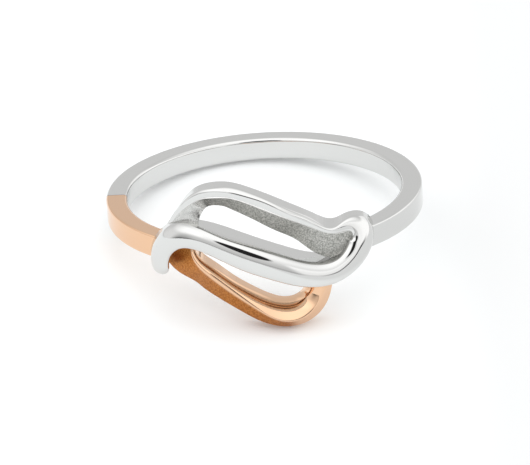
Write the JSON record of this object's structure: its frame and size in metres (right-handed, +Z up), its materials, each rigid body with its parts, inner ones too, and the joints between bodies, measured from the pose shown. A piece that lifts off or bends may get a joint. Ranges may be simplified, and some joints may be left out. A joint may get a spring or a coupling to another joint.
{
  "type": "two-tone finger ring with an open leaf ornament",
  "caption": "Narrow finger ring in grey platinum and rose gold, with an open swirl of leaf loops across the front, polished with satin bevels, lying on its side.",
  "frame": {"origin": "centre of the finger hole, at the middle of the band's width", "axes": "+Z up from the surface that the ring lies on, -Y towards the ornament at the front, +X to the right as the front is seen; the finger hole's axis is 11.9 degrees off +Z, because the ring rests on its lower leaf and on the back of its band"},
  "size_m": [0.02, 0.0215, 0.0092],
  "materials": {
    "platinum": "polished platinum; the bevel of the upper leaf is satin",
    "rose_gold": "polished rose gold; the bevel of the lower leaf is satin"
  },
  "bodies": {
    "root": {"platinum_ring": "platinum", "rose_gold_leaf": "rose_gold"}
  },
  "joints": []
}
